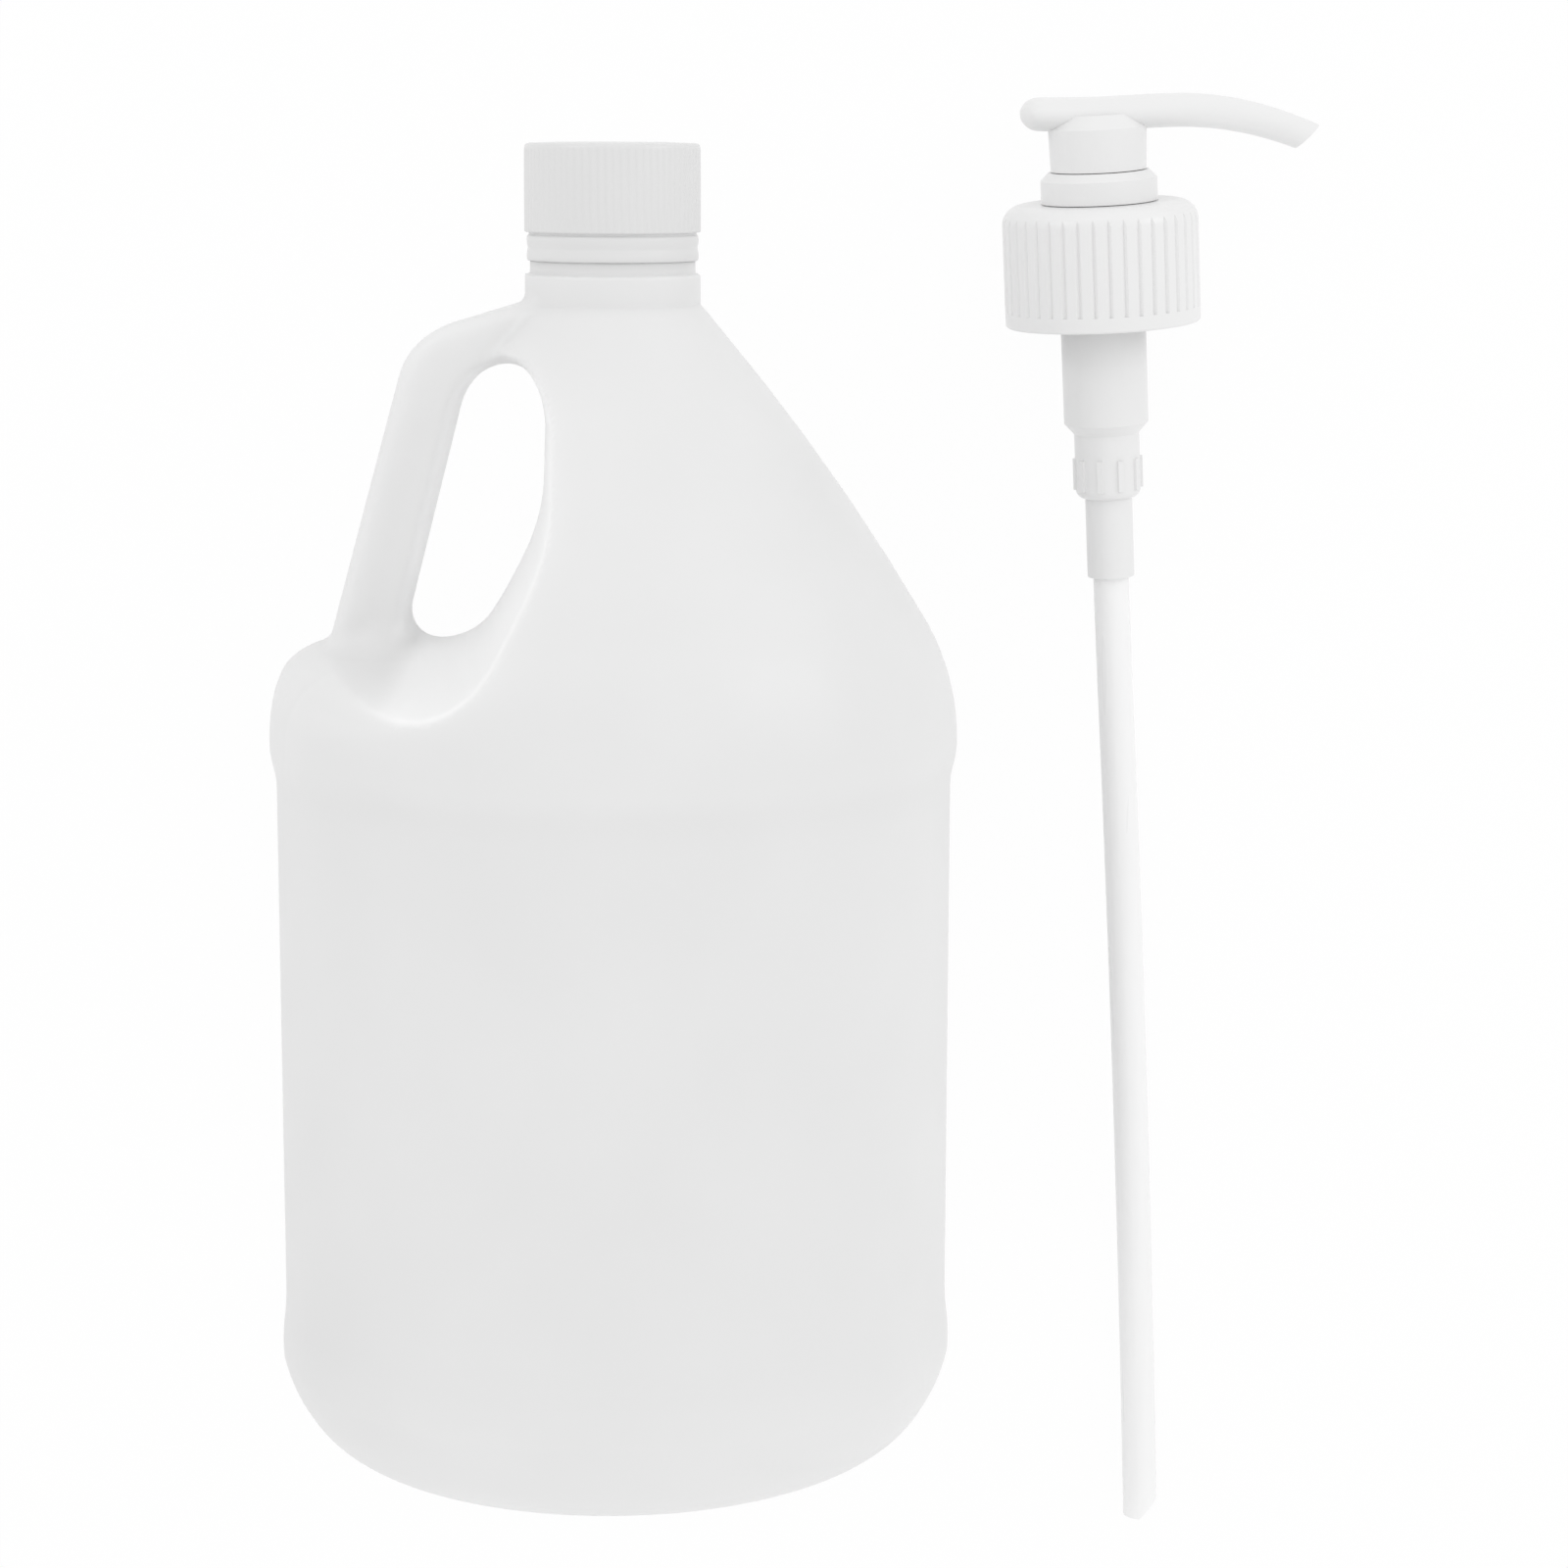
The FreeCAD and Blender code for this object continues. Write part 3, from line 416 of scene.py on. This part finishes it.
def settle(points, field, times):
    """Moves points on to the field's zero level along its gradient."""
    for _ in range(times):
        slopes = []
        for shift in np.eye(3) * SLOPE_REACH:
            change = field(*(points + shift).T) - field(*(points - shift).T)
            slopes.append(change / (2 * SLOPE_REACH))
        slope = np.stack(slopes, axis=1)
        step = field(*points.T) / np.maximum((slope ** 2).sum(axis=1), LEAST_SLOPE)
        points = points - np.clip(step, -LONGEST_STEP, LONGEST_STEP)[:, None] * slope
    return points


def relax(points, quads, share=0.5):
    """Moves each point part of the way to the middle of its neighbours."""
    total, count = np.zeros_like(points), np.zeros(len(points))
    for corner in range(4):
        for other in (1, 3):
            np.add.at(total, quads[:, corner], points[quads[:, (corner + other) % 4]])
            np.add.at(count, quads[:, corner], 1)
    return points + share * (total / count[:, None] - points)


def to_frame(points):
    """Points of the jug's own frame as points of the shared one, in metres."""
    x, y, h = points.T
    return np.stack([x * MM + AXIS_X, h * MM + BASE_Y, AXIS_Z - y * MM], axis=1)


def add_mesh(name, points, faces, smooth=True):
    mesh = bpy.data.meshes.new(name)
    mesh.from_pydata(points, [], faces)
    mesh.polygons.foreach_set("use_smooth", [smooth] * len(mesh.polygons))
    piece = bpy.data.objects.new(name, mesh)
    bpy.context.scene.collection.objects.link(piece)
    return piece


def make_jug():
    """The blown jug as one closed skin, kept inside the box of its CAD node."""
    shape = JugShape()
    points, quads = surface_net(shape.distance, (ladder(*NET_X), ladder(*NET_Y), ladder(*NET_H)))
    points = settle(points, shape.distance, FIRST_STEPS)
    for _ in range(RELAX_ROUNDS):
        points = settle(relax(points, quads), shape.distance, ROUND_STEPS)
    places = np.clip(to_frame(points), jug_low, jug_high)
    jug = add_mesh("jug_shell", places.tolist(), quads.tolist())
    # The painted-light mask: how much the colour is lightened, a painted glow as through a thin
    # wall and a painted highlight on the crease.
    light_paint = jug.data.attributes.new("painted_light_mask", "FLOAT", "POINT")
    light_paint.data.foreach_set("value", shape.painted_light_mask(*points.T).astype(np.float32))
    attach(jug, "set")
    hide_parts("jug")
    return jug


# ---------------------------------------------------------------- the jug's cap
CAP_RIBS = 72
CAP_RIB_DEPTH = 0.16
CAP_RIBS_FROM = 279.2
CAP_RIBS_TO = 297.6
RIB_STEPS = 8
# Radius and height in mm: out over the hollow's top, down its wall, and up over the outside.
CAP_PROFILE = (
    (0.0, 296.9), (17.4, 296.9), (17.4, 274.2), (18.6, 273.8), (18.6, 272.8),
    (18.95, 272.8), (19.15, 273.1), (19.2, 273.8), (19.15, 274.6), (19.0, 275.3), (18.95, 275.6),
    (19.0, 275.9), (19.15, 276.6), (19.2, 277.4), (19.15, 278.1), (18.95, 278.4), (18.75, 278.5),
    (18.7, 278.75), (18.75, 279.0), (19.45, 279.1), (19.62, 279.2), (19.7, 279.5), (19.7, 285.0),
    (19.7, 291.0), (19.66, 297.0), (19.6, 297.6), (19.45, 298.2), (19.1, 298.55), (18.4, 298.68),
    (12.0, 298.9), (0.0, 298.98),
)


def cap_point(radius, turn, height):
    """A point of the cap in the shared frame, in metres, from its radius and height in mm."""
    x = AXIS_X + radius * math.cos(turn) * MM
    z = AXIS_Z + radius * math.sin(turn) * MM
    return (x, BASE_Y + height * MM, z)


def cap_points(turns):
    """The profile's rings, a point at each turn, and then the middles of its two ends."""
    groove = CAP_RIB_DEPTH * (0.5 - 0.5 * np.cos(turns * CAP_RIBS)) ** 2
    points = []
    for radius, height in CAP_PROFILE[1:-1]:
        ribbed = CAP_RIBS_FROM < height < CAP_RIBS_TO
        for turn, reach in zip(turns, radius - groove * ribbed):
            points.append(cap_point(reach, turn, height))
    for radius, height in (CAP_PROFILE[0], CAP_PROFILE[-1]):
        points.append(cap_point(radius, 0.0, height))
    return points


def cap_faces(rings, count):
    """Quads between the rings, and a fan of triangles over each end."""
    around = [(n, (n + 1) % count) for n in range(count)]
    faces = []
    for start in range(0, (rings - 1) * count, count):
        end = start + count
        faces += [(start + a, end + a, end + b, start + b) for a, b in around]
    last, middle = (rings - 1) * count, rings * count
    faces += [(middle, a, b) for a, b in around]
    faces += [(middle + 1, last + b, last + a) for a, b in around]
    return faces


def make_cap():
    """The screw cap with its beaded tamper band, its ribs worn soft as moulded ones are."""
    count = CAP_RIBS * RIB_STEPS
    turns = np.arange(count) * math.tau / count
    cap = add_mesh("cap_shell", cap_points(turns), cap_faces(len(CAP_PROFILE) - 2, count))
    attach(cap, "set")
    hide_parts("jug_cap")
    return cap


# ---------------------------------------------------------------- materials
def feed(tree, value, socket):
    """Gives a socket a value: another node's output, or a number."""
    if isinstance(value, bpy.types.NodeSocket):
        tree.links.new(value, socket)
    else:
        socket.default_value = value


def maths(tree, operation, *values):
    """The result of a maths node on the values."""
    node = tree.nodes.new("ShaderNodeMath")
    node.operation = operation
    for value, socket in zip(values, node.inputs):
        feed(tree, value, socket)
    return node.outputs[0]


def blend(tree, share, shader, other, surface):
    """Feeds the surface a blend of two shaders: the first, and the share given of the other."""
    mix = tree.nodes.new("ShaderNodeMixShader")
    for value, socket in zip((share, shader.outputs[0], other.outputs[0]), mix.inputs):
        feed(tree, value, socket)
    tree.links.new(mix.outputs[0], surface)


class Plastic:
    """A moulded plastic: its colour drifts a little, its gloss is uneven, its skin faintly wavy."""

    REFRACTION = 1.5
    # The range that most of a noise's values lie in.
    NOISE_LOW = 0.3
    NOISE_HIGH = 0.7
    # The share of the parting line's width that is at full height.
    LINE_TOP = 0.3

    def __init__(self, name, tone, roughness):
        self.material = bpy.data.materials.new(name)
        self.material.use_nodes = True
        self.tree = self.material.node_tree
        self.shader = self.tree.nodes["Principled BSDF"]
        self.place = self.tree.nodes.new("ShaderNodeTexCoord").outputs["Object"]
        self.feed(self.REFRACTION, "IOR")
        self.normal = None
        self.tone = tone
        self.roughness = roughness

    def feed(self, value, socket):
        feed(self.tree, value, self.shader.inputs[socket])

    def noise(self, size, detail=2.0, stretch=None):
        """A noise whose blobs are about size metres across, drawn out by the stretch factors."""
        place = self.place
        if stretch:
            scale = self.tree.nodes.new("ShaderNodeVectorMath")
            scale.operation = "MULTIPLY"
            scale.inputs[1].default_value = stretch
            self.tree.links.new(place, scale.inputs[0])
            place = scale.outputs[0]
        noise = self.tree.nodes.new("ShaderNodeTexNoise")
        noise.inputs["Scale"].default_value = 1 / size
        noise.inputs["Detail"].default_value = detail
        self.tree.links.new(place, noise.inputs["Vector"])
        return noise.outputs["Fac"]

    def cells(self, size):
        """Round cells about size metres across, 0 in their middles."""
        cells = self.tree.nodes.new("ShaderNodeTexVoronoi")
        cells.inputs["Scale"].default_value = 1 / size
        self.tree.links.new(self.place, cells.inputs["Vector"])
        return cells.outputs["Distance"]

    def spread(self, value, low, high, start=NOISE_LOW, end=NOISE_HIGH):
        """A value between start and end, as one between low and high."""
        ramp = self.tree.nodes.new("ShaderNodeMapRange")
        limits = {"From Min": start, "From Max": end, "To Min": low, "To Max": high}
        for socket, number in limits.items():
            ramp.inputs[socket].default_value = number
        self.tree.links.new(value, ramp.inputs["Value"])
        return ramp.outputs["Result"]

    def colour(self, value, swing=0.012, painted_light_gain=0.0):
        """The tone, a neutral grey, lighter and darker with the value, and lighter by painted light
        where the painted-light mask is set.
        """
        level = self.spread(value, 1 - swing, 1 + swing)
        # Painted light: the colour is lifted by the mask, a painted glow and a painted crease
        # highlight.
        if painted_light_gain:
            light_paint = self.tree.nodes.new("ShaderNodeAttribute")
            light_paint.attribute_name = "painted_light_mask"
            gain = self.spread(light_paint.outputs["Fac"], 1.0, 1.0 + painted_light_gain, 0.0, 1.0)
            level = maths(self.tree, "MULTIPLY", level, gain)
        level = maths(self.tree, "MULTIPLY", level, self.tone)
        grey = self.tree.nodes.new("ShaderNodeCombineColor")
        for socket in ("Red", "Green", "Blue"):
            self.tree.links.new(level, grey.inputs[socket])
        self.feed(grey.outputs["Color"], "Base Color")

    def gloss(self, value, swing=0.06):
        uneven = self.spread(value, self.roughness - swing, self.roughness + swing)
        self.feed(uneven, "Roughness")

    def bump(self, height, depth):
        """Raises the skin by depth metres where the height is 1, on top of the bumps so far."""
        bump = self.tree.nodes.new("ShaderNodeBump")
        bump.inputs["Strength"].default_value = 1.0
        bump.inputs["Distance"].default_value = depth
        self.tree.links.new(height, bump.inputs["Height"])
        if self.normal:
            self.tree.links.new(self.normal, bump.inputs["Normal"])
        self.normal = bump.outputs["Normal"]
        self.feed(self.normal, "Normal")

    def milky(self, weight, scale):
        self.feed(weight, "Subsurface Weight")
        self.feed((1.0, 1.0, 1.0), "Subsurface Radius")
        self.feed(scale, "Subsurface Scale")

    def parting_line(self, height, half_width):
        """The mould's parting line: a fine raised line on the plane through the jug's axis."""
        parts = self.tree.nodes.new("ShaderNodeSeparateXYZ")
        self.tree.links.new(self.place, parts.inputs[0])
        offset = maths(self.tree, "SUBTRACT", parts.outputs["Z"], AXIS_Z)
        distance = maths(self.tree, "ABSOLUTE", offset)
        line = self.spread(distance, 1.0, 0.0, half_width * self.LINE_TOP, half_width)
        self.bump(line, height)


def jug_material():
    """Blown polyethylene: milky, satin, with long soft waves and a parting line, and painted light
    in and around the bay.
    """
    plastic = Plastic("jug_plastic", tone=0.79, roughness=0.42)
    plastic.milky(weight=0.5, scale=0.008)
    # Painted light: the colour is lightened in the bay, along its crease and along the handle's
    # side to the hole.
    plastic.colour(plastic.noise(size=0.05), painted_light_gain=0.19)
    plastic.gloss(plastic.noise(size=0.03, detail=1.0), swing=0.04)
    plastic.bump(plastic.noise(size=0.045, detail=1.0), depth=0.0010)
    plastic.bump(plastic.noise(size=0.0035, detail=3.0), depth=0.00004)
    plastic.parting_line(height=0.00018, half_width=0.0005)
    return plastic.material


def cap_material():
    """Injection-moulded cap: a little duller and darker than the jug."""
    plastic = Plastic("cap_plastic", tone=0.74, roughness=0.38)
    plastic.colour(plastic.noise(size=0.02), swing=0.01)
    plastic.gloss(plastic.noise(size=0.02, detail=1.0), swing=0.03)
    plastic.bump(plastic.noise(size=0.003, detail=1.0), depth=0.00001)
    return plastic.material


def pump_material():
    """Injection-moulded polypropylene of the pump: even, with a finer skin."""
    plastic = Plastic("pump_plastic", tone=0.82, roughness=0.32)
    plastic.colour(plastic.noise(size=0.04, detail=1.0), swing=0.01)
    plastic.gloss(plastic.noise(size=0.02, detail=1.0), swing=0.03)
    plastic.bump(plastic.noise(size=0.003, detail=1.0), depth=0.00001)
    return plastic.material


def tube_material():
    """Extruded natural polyethylene: clearer than the rest, with streaks along the tube."""
    plastic = Plastic("tube_plastic", tone=0.92, roughness=0.30)
    plastic.milky(weight=0.3, scale=0.002)
    streaks = plastic.noise(size=0.003, detail=1.0, stretch=(1.0, 0.02, 1.0))
    plastic.colour(streaks, swing=0.008)
    plastic.gloss(streaks, swing=0.03)
    plastic.bump(streaks, depth=0.000008)
    return plastic.material


def foam_material():
    """The washer's closed-cell foam."""
    plastic = Plastic("seal_foam", tone=0.72, roughness=0.85)
    cells = plastic.cells(size=0.0004)
    plastic.colour(plastic.noise(size=0.003), swing=0.03)
    plastic.gloss(plastic.noise(size=0.002))
    plastic.bump(cells, depth=0.0001)
    return plastic.material


def dress(piece, material):
    piece.data.materials.clear()
    piece.data.materials.append(material)


def dress_all(jug, cap):
    """Gives the new meshes and every CAD node the material of their slot."""
    pump, cap_plastic = pump_material(), cap_material()
    makers = {"jug_cap": cap_plastic, "dip_tube": tube_material(), "pump_gasket": foam_material()}
    makers["jug"] = jug_material()
    dress(jug, makers["jug"])
    dress(cap, cap_plastic)
    for name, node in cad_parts.items():
        dress(node, makers.get(name, pump))


# ---------------------------------------------------------------- stage
FLOOR_GLOW = 0.96
FLOOR_HALF = 3.0
FLOOR_COLOUR = (0.9, 0.9, 0.9, 1.0)


def seen_share(tree, share):
    """The share for rays that show a surface straight, reflected or through glass, else 0."""
    path = tree.nodes.new("ShaderNodeLightPath")
    seen = path.outputs["Is Camera Ray"]
    for kind in ("Is Glossy Ray", "Is Transmission Ray"):
        seen = maths(tree, "MAXIMUM", seen, path.outputs[kind])
    return maths(tree, "MULTIPLY", seen, share)


def floor_material():
    """White to look at, and still lit, so that the object's shadow stays on it."""
    material = bpy.data.materials.new("floor_white")
    material.use_nodes = True
    tree = material.node_tree
    tree.nodes.clear()
    out = tree.nodes.new("ShaderNodeOutputMaterial")
    diffuse = tree.nodes.new("ShaderNodeBsdfDiffuse")
    diffuse.inputs["Color"].default_value = FLOOR_COLOUR
    glow = tree.nodes.new("ShaderNodeEmission")
    glow.inputs["Strength"].default_value = 1.0
    blend(tree, seen_share(tree, FLOOR_GLOW), diffuse, glow, out.inputs["Surface"])
    return material


def make_stage():
    ends = (-FLOOR_HALF, FLOOR_HALF)
    corners = [(x, y, 0) for y in ends for x in ends]
    floor = add_mesh("floor", corners, [(0, 1, 3, 2)], smooth=False)
    floor.data.materials.append(floor_material())


LAMPS = {
    "key": {"from": (0.82, 0.48, 0.33), "distance": 1.2, "size": 0.5, "energy": 1.3},
    "top": {"from": (-0.1, 0.9, 0.45), "distance": 1.2, "size": 0.6, "energy": 0.35},
    "left": {"from": (-0.62, 0.62, 0.48), "distance": 1.2, "size": 0.35, "energy": 0.9},
    "below": {"from": (0.1, -0.9, 0.35), "distance": 1.3, "size": 1.0, "energy": 1.1},
}
LAMP_AIM_HEIGHT = 0.18
WORLD_STRENGTH = 0.93


def make_world():
    """A soft even light from all round, against a backdrop that looks white."""
    world = bpy.data.worlds.new("studio")
    bpy.context.scene.world = world
    world.use_nodes = True
    tree = world.node_tree
    light, backdrop = tree.nodes["Background"], tree.nodes.new("ShaderNodeBackground")
    for shader, strength in ((light, WORLD_STRENGTH), (backdrop, 1.0)):
        shader.inputs["Color"].default_value = WHITE
        shader.inputs["Strength"].default_value = strength
    surface = tree.nodes["World Output"].inputs["Surface"]
    blend(tree, seen_share(tree, 1.0), light, backdrop, surface)


def make_lamps():
    """Round soft boxes, each in its own direction from the middle of the jug."""
    centre = Vector((AXIS_X, BASE_Y + LAMP_AIM_HEIGHT, AXIS_Z))
    for name, lamp in LAMPS.items():
        data = bpy.data.lights.new(name, "AREA")
        data.shape = "DISK"
        data.size = lamp["size"]
        data.energy = lamp["energy"]
        light = bpy.data.objects.new(name, data)
        bpy.context.scene.collection.objects.link(light)
        towards = Vector(lamp["from"]).normalized()
        light.location = centre + towards * lamp["distance"]
        light.rotation_mode = "QUATERNION"
        light.rotation_quaternion = towards.to_track_quat("Z", "Y")


make_camera()
dress_all(make_jug(), make_cap())
make_stage()
make_world()
make_lamps()
bpy.context.scene.view_settings.view_transform = "Standard"
